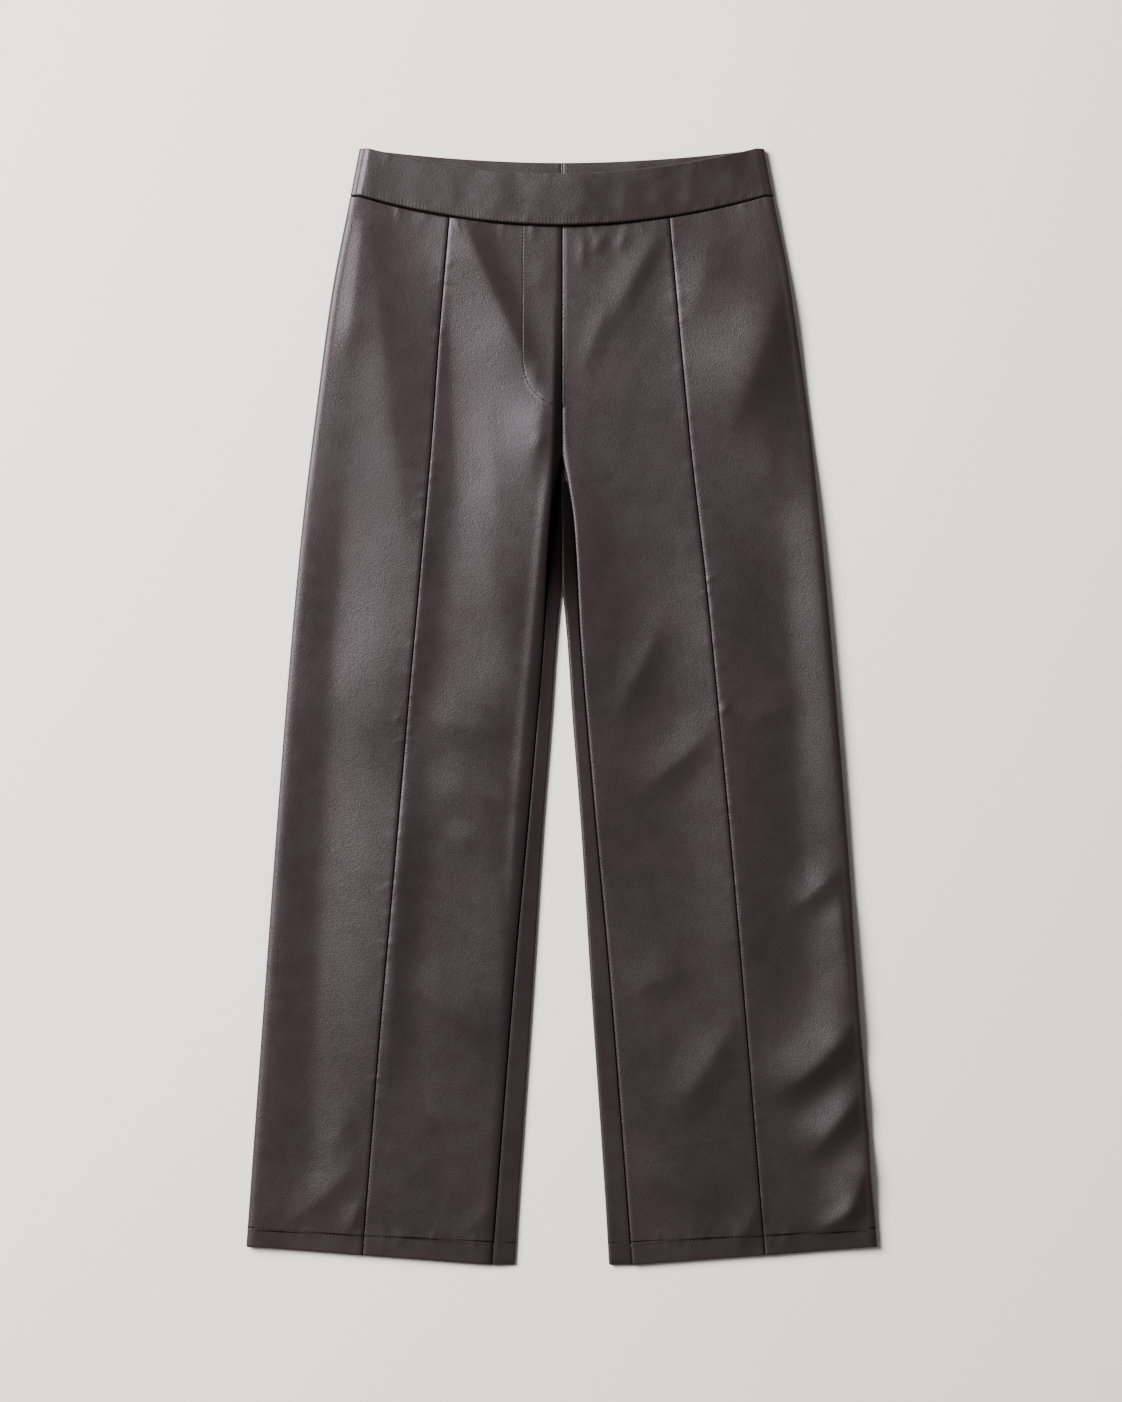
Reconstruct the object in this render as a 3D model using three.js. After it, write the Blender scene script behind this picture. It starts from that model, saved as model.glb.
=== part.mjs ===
// Faux leather trousers, pull-on with a mock fly, laid flat with the front up.
// Millimetres, +Z up. The waist is toward +Y and the hems toward -Y. The origin is on the surface that
// the trousers lie on, under the middle of their outline. "Right" and "left" are the wearer's: the
// wearer's right leg lies on the -X side.
//
// Each leg is a flattened tube of three walls. The back panel lies on the surface and wraps up round the
// leg's inner edge as far as the inseam. The two front panels lie on it and roll down at the outer edge
// to the side seam. "drop" is always the distance down from the waist's two top corners.

import * as THREE from 'three';

// Cloth
const WALL = 2.2; // the cloth with its knitted backing and seam allowances
const BAND_WALL = 2.9; // the waistband is two layers with an interlining
const HEM_WALL = 3; // the hem is turned up once inside
const SEAM_GAP = 0.3; // clearance between two pieces at a seam
const LAYER_GAP = 2.1; // between the back and the front where they lie flat
const BAND_GAP = 1.2; // the same between the two waistbands
const ROLL = 4.15; // radius of the soft edges where the cloth turns over

// Outline as it lies
const LENGTH = 1050; // waist corners to the lowest point of the hems
const HEM_DEPTH = 19;
const HEM_SLANT = 17; // each hem's outer end lies this much higher than its inner end
const EDGE_POWER = 1.85; // how the curved waist edges leave the centre line
const FRONT_TOP_DIP = 24.5; // the front waist edge at the centre, below the corners
const BACK_TOP_DIP = 12.7;
const BAND_SIDE = 45; // depth of the waistband at the sides
const FRONT_BAND_CENTRE = 73; // drop of the waistband's lower seam at the centre front
const BACK_BAND_CENTRE = 61;

// Crotch
const CROTCH_POINT = 288; // drop where the two front panels part and the inseams start
const FORK_START = 311; // drop from which the back panel's fork shows between them
const LEGS_PART = 410; // drop where the two legs part
const FORK_LOW = 4.8; // height of the fork at its start, deep between the fronts
const FORK_RISE_END = 440; // drop where it has come up to the level of the inseam
const INSEAM_HEIGHT = 7.9;
const FORK_ROUND = 0.45; // share of the fork's width that its round inner edge takes where it is narrow
const THINNEST = 0.15; // radius left inside a round edge that is tighter than the wall is thick
const END_FACE_SHARE = 0.45; // of the wall's thickness, taken by each half of a plain end face's points

// Relief
const FLAT_HEIGHT = 2 * WALL + LAYER_GAP; // top of the front where it lies flat
const LOWEST_FRONT = 2 * WALL + 0.5;
const LOWEST_HEM = 2 * HEM_WALL + 0.4;
const EDGE_SWELL = 30; // how far in from a rolled edge the front is lifted by it
const CENTRE_GROOVE = { depth: 0.8, width: 5 }; // both panels turn down into the centre front seam
const SEAM_RIDGE = { rise: 0.7, width: 3 }; // the long front seams stand up like pin tucks
const FLY = { width: 37, straight: 200, end: 242, rise: 0.7, soft: 5 };

// Colours, darker where a panel faces away from the light
const BAND_COLOUR = 0x5a4e50;
const BAND_BACK_COLOUR = 0x4a3e40;
const CENTRE_COLOUR = 0x54484a;
const SIDE_COLOUR = 0x4e4244;
const BACK_COLOUR = 0x45393b;
const ROUGHNESS = 0.45;

// Grid
const ROW_STEP = 26;
const FIRST_ROW = 100;
const SIDE_SEAM_ANGLE = -8; // degrees from level on the rolled outer edge, where the front ends
const SIDE_SEAM_OPENING = 4;
const BACK_SEAM_ANGLE = SIDE_SEAM_ANGLE - SIDE_SEAM_OPENING;
const PANEL_COLUMNS = [0, 0.04, 0.13, 0.25, 0.38, 0.5, 0.62, 0.75, 0.87, 0.96, 1];
const SIDE_COLUMNS = [0, 0.04, 0.15, 0.29, 0.43, 0.57, 0.7, 0.82, 0.92, 1];
const ROLL_STEPS = 5;
const BACK_ROLL_STEPS = 3;
const FLOOR_COLUMNS = 6;
const WRAP_STEPS = 5;
const FORK_COLUMNS = 3;
const BAND_ROWS = 3;
const SEAM_FRACTION = 0.53; // where the long front seam lies between the centre and the outer edge

// Distance of each line from the centre line, by drop
const OUTER_EDGE = [
  { drop: 0, out: 190.5 },
  { drop: 48, out: 199.8 },
  { drop: 133, out: 216.2 },
  { drop: 227, out: 229 },
  { drop: 368, out: 245.8 },
  { drop: 556, out: 262.3 },
  { drop: 791, out: 279.7 },
  { drop: 1050, out: 298.3 },
];
const FRONT_SEAM = [
  { drop: 65, right: 106, left: 101 },
  { drop: 172, right: 115.2, left: 110.6 },
  { drop: 283, right: 123.1, left: 121.3 },
  { drop: 408, right: 133.8, left: 135.4 },
  { drop: 528, right: 144.8, left: 147 },
  { drop: 677, right: 157.5, left: 160.7 },
  { drop: 848, right: 172.5, left: 175.2 },
  { drop: 1036, right: 187.3, left: 190.5 },
];
const INSEAM = [
  { drop: CROTCH_POINT, out: SEAM_GAP / 2 },
  { drop: 337, out: 9.4 },
  { drop: 377, out: 13 },
  { drop: 462, out: 17.5 },
  { drop: 614, out: 30 },
  { drop: 791, out: 46 },
  { drop: LENGTH, out: 66 },
];
const INNER_EDGE = [
  { drop: LEGS_PART, out: SEAM_GAP / 2 },
  { drop: 464, out: 5 },
  { drop: 537, out: 9.9 },
  { drop: 641, out: 17.9 },
  { drop: 791, out: 27.3 },
  { drop: 979, out: 40 },
  { drop: LENGTH, out: 44.2 },
];

// The largest folds of the front: where the middle lies, how long and wide, which way it runs (degrees
// from straight down, toward +X), and how high it stands, or how deep if negative
const FOLDS = [
  { x: -66, drop: 149, length: 150, width: 15, turn: 27, rise: 1.5 },
  { x: -46, drop: 128, length: 110, width: 12, turn: 27, rise: -1.5 },
  { x: -34, drop: 262, length: 80, width: 10, turn: 25, rise: 1.4 },
  { x: -18, drop: 268, length: 70, width: 9, turn: -14, rise: 1.2 },
  { x: -72, drop: 368, length: 190, width: 24, turn: 4, rise: 1.1 },
  { x: -110, drop: 330, length: 160, width: 14, turn: 6, rise: -1.1 },
  { x: -193, drop: 241, length: 115, width: 12, turn: 12, rise: 1.2 },
  { x: -176, drop: 443, length: 190, width: 26, turn: 3, rise: 1.2 },
  { x: -88, drop: 590, length: 80, width: 13, turn: 62, rise: 1.2 },
  { x: -92, drop: 650, length: 70, width: 12, turn: -64, rise: -1.2 },
  { x: -228, drop: 978, length: 60, width: 9, turn: 64, rise: 1.4 },
  { x: 62, drop: 128, length: 105, width: 14, turn: -31, rise: 1.5 },
  { x: 82, drop: 134, length: 100, width: 11, turn: -31, rise: -1.4 },
  { x: 172, drop: 161, length: 100, width: 17, turn: -10, rise: 1.3 },
  { x: 90, drop: 330, length: 180, width: 22, turn: -3, rise: 1.1 },
  { x: 101, drop: 560, length: 100, width: 13, turn: -40, rise: 1.4 },
  { x: 222, drop: 690, length: 70, width: 11, turn: 52, rise: 1.5 },
  { x: 228, drop: 830, length: 120, width: 12, turn: 40, rise: 1.5 },
  { x: 248, drop: 897, length: 95, width: 10, turn: 38, rise: 1.4 },
  { x: 106, drop: 875, length: 80, width: 14, turn: -20, rise: -1.2 },
];

const radians = (degrees) => (degrees * Math.PI) / 180;
const lerp = (a, b, t) => a + (b - a) * t;
const clamp = (value, low, high) => Math.min(Math.max(value, low), high);
const smooth = (t) => {
  const s = clamp(t, 0, 1);
  return s * s * (3 - 2 * s);
};

// A smooth line through a table's rows, level above its first row and straight on below its last
function lineThrough(rows, column) {
  const slopes = rows.map((row, i) => {
    const before = rows[Math.max(i - 1, 0)];
    const after = rows[Math.min(i + 1, rows.length - 1)];
    return (after[column] - before[column]) / (after.drop - before.drop);
  });
  return (drop) => {
    if (drop <= rows[0].drop) return rows[0][column];
    const next = rows.findIndex((row) => row.drop >= drop);
    const last = rows.length - 1;
    if (next < 0) return rows[last][column] + slopes[last] * (drop - rows[last].drop);
    const a = rows[next - 1];
    const b = rows[next];
    const span = b.drop - a.drop;
    const t = (drop - a.drop) / span;
    const ends = lerp(a[column], b[column], t * t * (3 - 2 * t));
    const bend = slopes[next - 1] * (1 - t) - slopes[next] * t;
    return ends + bend * span * t * (1 - t);
  };
}

const outerEdge = lineThrough(OUTER_EDGE, 'out');
const inseam = lineThrough(INSEAM, 'out');
const innerEdge = lineThrough(INNER_EDGE, 'out');
const frontSeam = {
  right: lineThrough(FRONT_SEAM, 'right'),
  left: lineThrough(FRONT_SEAM, 'left'),
};
const MIRROR = { right: -1, left: 1 };

// The drop of a curved waist edge: "across" runs from 0 at the centre to 1 at the side
const waistEdge = (centre, side, across) => centre - (centre - side) * across ** EDGE_POWER;

// The drop of a point on a row that crosses the centre line at "middle"
function rowDrop(middle, across, top) {
  const down = (middle - top) / (LENGTH - top);
  const waist = (waistEdge(top, BAND_SIDE, across) - top) * (1 - down);
  return middle + waist - HEM_SLANT * across * down;
}

// The rows of a panel, by their drop at the centre line: the hem fold has a row on each side of it
function panelRows(top) {
  const rows = [top + SEAM_GAP];
  const hem = LENGTH - HEM_DEPTH;
  for (let drop = FIRST_ROW; drop < hem - ROW_STEP / 2; drop += ROW_STEP) rows.push(drop);
  return [...rows, hem - 1, hem + 1, LENGTH];
}

const wallAt = (middle) => (middle > LENGTH - HEM_DEPTH ? HEM_WALL : WALL);

// Height of the folds at a point of the front
function foldHeight(x, drop) {
  return FOLDS.reduce((height, fold) => {
    const turn = radians(fold.turn);
    const dx = x - fold.x;
    const dy = drop - fold.drop;
    const along = (dx * Math.sin(turn) + dy * Math.cos(turn)) / (fold.length / 2);
    const off = (dx * Math.cos(turn) - dy * Math.sin(turn)) / fold.width;
    return height + fold.rise * Math.exp(-(along ** 4) - off ** 2);
  }, 0);
}

// The mock fly: extra layers under the wearer's right front, up to its J-shaped stitching
function flyHeight(x, drop) {
  if (x > 0 || drop > FLY.end) return 0;
  const bend = clamp((drop - FLY.straight) / (FLY.end - FLY.straight), 0, 1);
  const edge = FLY.width * Math.sqrt(1 - bend * bend);
  return FLY.rise * smooth((edge + x) / FLY.soft + 0.5);
}

// Top of the front at a point, before it turns down over the outer edge
function frontHeight(side, out, drop, wall) {
  const x = MIRROR[side] * out;
  const fromRoll = outerEdge(drop) - ROLL - out;
  const fromInseam = out - inseam(drop);
  const parted = smooth((drop - CROTCH_POINT) / (FORK_START - CROTCH_POINT));
  const swell = (distance) => Math.exp(-((distance / EDGE_SWELL) ** 2));
  const outer = (2 * ROLL - FLAT_HEIGHT) * swell(fromRoll);
  const inner = (INSEAM_HEIGHT - FLAT_HEIGHT) * swell(fromInseam) * parted;
  const groove = CENTRE_GROOVE.depth * Math.exp(-((out / CENTRE_GROOVE.width) ** 2)) * (1 - parted);
  const tuck = SEAM_RIDGE.rise * Math.exp(-(((out - frontSeam[side](drop)) / SEAM_RIDGE.width) ** 2));
  const height = FLAT_HEIGHT + outer + inner - groove + tuck + foldHeight(x, drop) + flyHeight(x, drop);
  return clamp(height, wall === HEM_WALL ? LOWEST_HEM : LOWEST_FRONT, 2 * ROLL);
}

// A point of the garment from its distance out, drop and height
function place(side, out, drop, height) {
  return new THREE.Vector3(MIRROR[side] * out, LENGTH / 2 - drop, height);
}

// A closed wall between two grids of points, its outer face and its inner face
function wallMesh(name, outer, inner, colour) {
  const rows = outer.length;
  const columns = outer[0].length;
  const points = [...outer.flat(), ...inner.flat()];
  const index = (layer, row, column) => (layer * rows + row) * columns + column;
  const faces = [];
  const quad = (a, b, c, d) => faces.push(a, b, c, a, c, d);
  for (let r = 0; r < rows - 1; r++) {
    for (let c = 0; c < columns - 1; c++) {
      quad(index(0, r, c), index(0, r, c + 1), index(0, r + 1, c + 1), index(0, r + 1, c));
      quad(index(1, r, c), index(1, r + 1, c), index(1, r + 1, c + 1), index(1, r, c + 1));
    }
  }
  const lastRow = rows - 1;
  for (let c = 0; c < columns - 1; c++) {
    quad(index(0, 0, c), index(1, 0, c), index(1, 0, c + 1), index(0, 0, c + 1));
    quad(index(0, lastRow, c), index(0, lastRow, c + 1), index(1, lastRow, c + 1), index(1, lastRow, c));
  }
  const end = columns - 1;
  for (let r = 0; r < rows - 1; r++) {
    quad(index(0, r, 0), index(0, r + 1, 0), index(1, r + 1, 0), index(1, r, 0));
    quad(index(0, r, end), index(1, r, end), index(1, r + 1, end), index(0, r + 1, end));
  }
  if (signedVolume(points, faces) < 0) faces.reverse();
  const geometry = new THREE.BufferGeometry().setFromPoints(points);
  geometry.setIndex(faces);
  geometry.computeVertexNormals();
  const material = new THREE.MeshStandardMaterial({ color: colour, roughness: ROUGHNESS, metalness: 0 });
  const mesh = new THREE.Mesh(geometry, material);
  mesh.name = name;
  return mesh;
}

function signedVolume(points, faces) {
  let volume = 0;
  for (let i = 0; i < faces.length; i += 3) {
    const [a, b, c] = [points[faces[i]], points[faces[i + 1]], points[faces[i + 2]]];
    volume += a.dot(b.clone().cross(c)) / 6;
  }
  return volume;
}

// Where the front's columns lie on one row, from the centre front or the inseam out to the outer edge's
// roll: those of the centre panel, then those of the side panel
function frontColumns(side, middle) {
  const seamHalf = SEAM_GAP / 2;
  const centre = PANEL_COLUMNS.map((w) => {
    const across = w * SEAM_FRACTION;
    const drop = rowDrop(middle, across, FRONT_BAND_CENTRE);
    return { across, drop, out: lerp(inseam(drop), frontSeam[side](drop) - seamHalf, w) };
  });
  const outside = SIDE_COLUMNS.map((w) => {
    const across = lerp(SEAM_FRACTION, 1, w);
    const drop = rowDrop(middle, across, FRONT_BAND_CENTRE);
    return { across, drop, out: lerp(frontSeam[side](drop) + seamHalf, outerEdge(drop) - ROLL, w) };
  });
  return { centre, outside };
}

// The front panel between the centre front, or the inseam, and the long front seam
function frontCentre(side) {
  const outer = [];
  const inner = [];
  for (const middle of panelRows(FRONT_BAND_CENTRE)) {
    const wall = wallAt(middle);
    const points = frontColumns(side, middle).centre;
    const height = (p) => frontHeight(side, p.out, p.drop, wall);
    outer.push(points.map((p) => place(side, p.out, p.drop, height(p))));
    inner.push(points.map((p) => place(side, p.out, p.drop, height(p) - wall)));
  }
  return wallMesh(`front_centre_${side}`, outer, inner, CENTRE_COLOUR);
}

// The front panel between the long front seam and the side seam, rolled down over the outer edge
function frontSide(side) {
  const outer = [];
  const inner = [];
  for (const middle of panelRows(FRONT_BAND_CENTRE)) {
    const wall = wallAt(middle);
    const flat = frontColumns(side, middle).outside;
    const height = (p) => frontHeight(side, p.out, p.drop, wall);
    const last = flat[flat.length - 1];
    const arc = rolledEdge(side, last.drop, height(last), wall, 90, SIDE_SEAM_ANGLE, ROLL_STEPS);
    outer.push([...flat.map((p) => place(side, p.out, p.drop, height(p))), ...arc.outer]);
    inner.push([...flat.map((p) => place(side, p.out, p.drop, height(p) - wall)), ...arc.inner]);
  }
  return wallMesh(`front_side_${side}`, outer, inner, SIDE_COLOUR);
}

// Points round the outer edge between two angles, leaving out the first, which a flat part already has
function rolledEdge(side, drop, top, wall, from, to, steps) {
  const middle = outerEdge(drop) - ROLL;
  const outer = [];
  const inner = [];
  for (let i = 1; i <= steps; i++) {
    const angle = radians(lerp(from, to, i / steps));
    const lift = (top - 2 * ROLL) * Math.max(Math.sin(angle), 0);
    const at = (radius) =>
      place(side, middle + radius * Math.cos(angle), drop, ROLL + radius * Math.sin(angle) + lift);
    outer.push(at(ROLL));
    inner.push(at(ROLL - wall));
  }
  return { outer, inner };
}

// How high the back panel's fork stands where it meets the front
const forkHeight = (drop) =>
  lerp(FORK_LOW, INSEAM_HEIGHT, smooth((drop - FORK_START) / (FORK_RISE_END - FORK_START)));

// The back panel: from the side seam down to the surface, flat across it, and below the crotch point up
// round the inner edge to the inseam. Above that its end is a plain edge at the centre back seam, where
// the points of the wrap lie one above the other.
function back(side) {
  const outer = [];
  const inner = [];
  for (const middle of panelRows(BACK_BAND_CENTRE)) {
    const wall = wallAt(middle);
    const sideDrop = rowDrop(middle, 1, BACK_BAND_CENTRE);
    const roll = rolledEdge(side, sideDrop, 2 * ROLL, wall, -90, BACK_SEAM_ANGLE, BACK_ROLL_STEPS);
    const wrapped = middle >= FORK_START;
    const edge = innerEdge(middle);
    const end = inseam(middle) - SEAM_GAP;
    const top = wrapped ? forkHeight(middle) : wall;
    const wide = wrapped ? Math.min(ROLL, FORK_ROUND * (end - edge)) : 0;
    const floorEnd = edge + wide;
    const floorOuter = [];
    const floorInner = [];
    for (let i = 0; i <= FLOOR_COLUMNS; i++) {
      const across = 1 - i / FLOOR_COLUMNS;
      const drop = rowDrop(middle, across, BACK_BAND_CENTRE);
      const out = lerp(floorEnd, outerEdge(drop) - ROLL, across);
      floorOuter.push(place(side, out, drop, 0));
      floorInner.push(place(side, out, drop, wall));
    }
    const wrap = wrapped
      ? wrapPoints(side, middle, wall, { edge, end, top, wide })
      : endFacePoints(side, middle, wall, edge);
    outer.push([...roll.outer.reverse(), ...floorOuter, ...wrap.outer]);
    inner.push([...roll.inner.reverse(), ...floorInner, ...wrap.inner]);
  }
  return wallMesh(`back_${side}`, outer, inner, BACK_COLOUR);
}

// The wrap round the inner edge, half an oval, and then the strip up to the inseam
function wrapPoints(side, drop, wall, { edge, end, top, wide }) {
  const outer = [];
  const inner = [];
  const thin = Math.max(wide - wall, THINNEST);
  for (let i = 1; i <= WRAP_STEPS; i++) {
    const angle = radians(lerp(-90, 90, i / WRAP_STEPS));
    const across = (radius) => edge + wide - radius * Math.cos(angle);
    const up = (radius) => top / 2 + radius * Math.sin(angle);
    outer.push(place(side, across(wide), drop, up(top / 2)));
    inner.push(place(side, across(thin), drop, up(top / 2 - wall)));
  }
  for (let i = 1; i <= FORK_COLUMNS; i++) {
    const out = lerp(edge + wide, end, i / FORK_COLUMNS);
    outer.push(place(side, out, drop, top));
    inner.push(place(side, out, drop, top - wall));
  }
  return { outer, inner };
}

// The plain edge at the centre back: as many points as a wrap has, up one half of the end face and down
// the other
function endFacePoints(side, drop, wall, edge) {
  const steps = WRAP_STEPS + FORK_COLUMNS;
  const reach = END_FACE_SHARE * wall;
  const outer = [];
  const inner = [];
  for (let i = 1; i <= steps; i++) {
    const up = (reach * i) / steps;
    outer.push(place(side, edge, drop, up));
    inner.push(place(side, edge, drop, wall - up));
  }
  return { outer, inner };
}

// One half of a waistband, from the centre to the side seam, as rows of points from its top edge down.
// Its columns are those of the panel below, so that the two edges of the seam run alike.
function bandHalf(side, columns, { topDip, seamCentre, height, wallDown, from, steps }) {
  const outer = [];
  const inner = [];
  for (let r = 0; r <= BAND_ROWS; r++) {
    const dropAt = (across) =>
      lerp(waistEdge(topDip, 0, across), waistEdge(seamCentre, BAND_SIDE, across), r / BAND_ROWS);
    const flat = columns.map(({ across, share }) => {
      const drop = dropAt(across);
      const reach = outerEdge(drop) - ROLL;
      return { out: reach * share, drop, top: height(reach * (1 - share)) };
    });
    const roll = rolledEdge(side, dropAt(1), 2 * ROLL, BAND_WALL, ...from, steps);
    outer.push([...flat.map((p) => place(side, p.out, p.drop, p.top)), ...roll.outer]);
    inner.push([...flat.map((p) => place(side, p.out, p.drop, p.top - wallDown)), ...roll.inner]);
  }
  return { outer, inner };
}

// The front waistband is one piece from side seam to side seam
function waistbandFront() {
  const lying = 2 * BAND_WALL + BAND_GAP;
  const swell = (fromRoll) => Math.exp(-((fromRoll / EDGE_SWELL) ** 2));
  const shape = {
    topDip: FRONT_TOP_DIP,
    seamCentre: FRONT_BAND_CENTRE,
    height: (fromRoll) => lerp(lying, 2 * ROLL, swell(fromRoll)),
    wallDown: BAND_WALL,
    from: [90, SIDE_SEAM_ANGLE],
    steps: ROLL_STEPS,
  };
  const half = (side) => {
    const { centre, outside } = frontColumns(side, FRONT_BAND_CENTRE);
    const inside = centre.slice(1, -1);
    const columns = [...inside, ...outside].map(({ across, drop, out }) => ({
      across,
      share: out / (outerEdge(drop) - ROLL),
    }));
    return bandHalf(side, [{ across: 0, share: 0 }, ...columns], shape);
  };
  const right = half('right');
  const left = half('left');
  const join = (layer) => right[layer].map((row, i) => [...row.slice(1).reverse(), ...left[layer][i]]);
  return wallMesh('waistband_front', join('outer'), join('inner'), BAND_COLOUR);
}

// The back waistband is joined at the centre back
function waistbandBack(side) {
  const columns = [];
  for (let i = 0; i <= FLOOR_COLUMNS; i++) {
    const across = i / FLOOR_COLUMNS;
    const reach = outerEdge(waistEdge(BACK_BAND_CENTRE, BAND_SIDE, across)) - ROLL;
    columns.push({ across, share: lerp(SEAM_GAP / 2, reach, across) / reach });
  }
  const half = bandHalf(side, columns, {
    topDip: BACK_TOP_DIP,
    seamCentre: BACK_BAND_CENTRE,
    height: () => 0,
    wallDown: -BAND_WALL,
    from: [-90, BACK_SEAM_ANGLE],
    steps: BACK_ROLL_STEPS,
  });
  return wallMesh(`waistband_back_${side}`, half.outer, half.inner, BAND_BACK_COLOUR);
}

const trousers = new THREE.Group();
trousers.add(waistbandFront());
for (const side of ['right', 'left']) {
  trousers.add(waistbandBack(side), frontCentre(side), frontSide(side), back(side));
}

export default trousers;
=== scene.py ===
import math
import random

import bmesh
import bpy
import numpy as np
from mathutils import Matrix, Vector, noise


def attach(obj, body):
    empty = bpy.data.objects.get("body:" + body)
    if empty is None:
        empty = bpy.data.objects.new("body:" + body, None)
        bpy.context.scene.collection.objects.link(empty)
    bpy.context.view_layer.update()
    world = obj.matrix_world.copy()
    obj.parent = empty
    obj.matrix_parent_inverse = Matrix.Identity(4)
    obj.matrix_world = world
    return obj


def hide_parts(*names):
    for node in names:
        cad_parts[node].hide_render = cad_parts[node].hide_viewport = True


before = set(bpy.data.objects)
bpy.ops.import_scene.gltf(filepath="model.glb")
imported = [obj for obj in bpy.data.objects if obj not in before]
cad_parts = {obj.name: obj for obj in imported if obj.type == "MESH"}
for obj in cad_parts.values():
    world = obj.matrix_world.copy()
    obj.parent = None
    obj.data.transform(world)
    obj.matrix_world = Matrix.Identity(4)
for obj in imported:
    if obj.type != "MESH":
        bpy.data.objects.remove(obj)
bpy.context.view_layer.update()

# Back panels. One to a leg, cut in a knit coated with dark brown polyurethane, about 1.2 mm thick with
# its backing. Each lies on the surface, turns up round the leg's inner edge to the inseam on top, and
# its lower end is turned up inside as the hem.
MM = 0.001
CLOTH = 1.2
LENGTH = 1050
ROLL = 4.15
SEAM_GAP = 0.3
EDGE_POWER = 1.85
BAND_SIDE = 45
BACK_BAND_CENTRE = 61
HEM_SLANT = 17
HEM_DEPTH = 19
HEM_ROLL = 1.3
SEAM_ROUND = 0.9
SEAM_TURN = 1.6
SIDE_SEAM_ANGLE = -8
BACK_SEAM_ANGLE = -12
BACK_SEAM_COLUMNS = [(0, SEAM_ROUND + SEAM_TURN), (0, SEAM_ROUND), (8, 0.5), (16, 0.1)]
BACK_SEAM_PAST = 24
CROTCH_POINT = 288
FORK_START = 311
LEGS_PART = 410
# Painted shade in the fork of the legs. It is deepest down to the first drop and gone by the second. The
# pair below it caps the seam distance there, so the colour darkens as it does at a seam.
FORK_SHADE_DEEPEST = 350
FORK_SHADE_GONE = 520
FORK_SHADE = (0.25, 0.8)
UNSEWN = 50.0
UNDERSIDE = 0.1
FORK_RISE_END = 440
FORK_ROUND = 0.3
INNER_EDGE_ROUND = 2.6
STRIP_AT_EDGE = {"right": (1.6, 4.0), "left": (1.6, 5.4)}
STRIP_AT_INSEAM = {"right": (2.6, 6.0), "left": (1.6, 4.4)}
STRIP_ROUND_LOWEST = 1.6
STRIP_TURNED_LOWEST = 1.5
MIRROR = {"right": -1, "left": 1}
BACK_ROW_STEP = 5
DENTS_FADE = 20


def lerp(a, b, t):
    return a + (b - a) * t


def smooth(t):
    s = np.clip(t, 0, 1)
    return s * s * (3 - 2 * s)


def line_through(points):
    """A smooth line through (drop, distance out) points, level above them and straight on below them."""
    drops, outs = np.array(points, float).T
    slopes = np.gradient(outs)
    slopes[1:-1] = (outs[2:] - outs[:-2]) / (drops[2:] - drops[:-2])
    slopes[0] = (outs[1] - outs[0]) / (drops[1] - drops[0])
    slopes[-1] = (outs[-1] - outs[-2]) / (drops[-1] - drops[-2])

    def line(drop):
        i = np.clip(np.searchsorted(drops, drop) - 1, 0, len(drops) - 2)
        span = drops[i + 1] - drops[i]
        t = np.clip((drop - drops[i]) / span, 0, 1)
        bend = slopes[i] * (1 - t) - slopes[i + 1] * t
        below = np.maximum(drop - drops[-1], 0)
        return lerp(outs[i], outs[i + 1], smooth(t)) + bend * span * t * (1 - t) + slopes[-1] * below

    return line


outer_edge = line_through([
    (0, 190.5), (48, 199.8), (133, 216.2), (227, 229), (368, 245.8), (556, 262.3), (791, 279.7),
    (1050, 298.3),
])
inner_edge = line_through([
    (410, 0.15), (464, 5), (537, 9.9), (641, 17.9), (791, 27.3), (979, 40), (1050, 44.2),
])
inseam = line_through([
    (288, 0.15), (337, 9.4), (377, 13), (462, 17.5), (614, 30), (791, 46), (1050, 66),
])


def waist_edge(centre, side, across):
    return centre - (centre - side) * across**EDGE_POWER


def row_drop(middle, across, top):
    """The drop of a point on the row that crosses the centre line at "middle"."""
    down = (middle - top) / (LENGTH - top)
    waist = (waist_edge(top, BAND_SIDE, across) - top) * (1 - down)
    return middle + waist - HEM_SLANT * across * down


def panel_rows(top, step):
    """A panel's rows from the waist seam to the hem and up inside it: where each crosses the centre line,
    and how deep it lies behind the outer face."""
    rows = [(top + SEAM_GAP, SEAM_ROUND + SEAM_TURN)]
    for angle in (0, 25, 50, 75):
        turn = math.radians(angle)
        rows.append((top + SEAM_GAP + SEAM_ROUND * (1 - math.cos(turn)), SEAM_ROUND * (1 - math.sin(turn))))
    start = top + SEAM_GAP + SEAM_ROUND
    end = LENGTH - HEM_ROLL
    count = round((end - start) / step)
    rows += [(lerp(start, end, i / count), 0) for i in range(count + 1)]
    for angle in (30, 60, 90, 120, 150, 180):
        turn = math.radians(angle)
        rows.append((end + HEM_ROLL * math.sin(turn), HEM_ROLL * (1 - math.cos(turn))))
    rows += [(end - HEM_DEPTH * i / 4, 2 * HEM_ROLL) for i in (1, 2, 3, 4)]
    middle, depth = np.array(rows).T
    return middle[:, None], depth[:, None]


# The soft outer edge: its upper quarter is a wide, nearly square oval, and its lower one is round
ROLL_WIDTH = 8.5
ROLL_SQUARE = 0.76


def side_roll(drop, angle, depth, top):
    """A point on the soft outer edge, at an angle of 0 on its side and 90 at "top"."""
    turn = np.radians(angle)
    wide = np.where(angle > 0, ROLL_WIDTH, ROLL)
    tall = np.where(angle > 0, top - ROLL, ROLL)
    across, up = np.cos(turn), np.sin(turn)
    across = np.where(angle > 0, across**ROLL_SQUARE, across)
    up = np.where(angle > 0, np.abs(up) ** ROLL_SQUARE, up)
    return outer_edge(drop) - wide + (wide - depth) * across, ROLL + (tall - depth) * up


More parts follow.
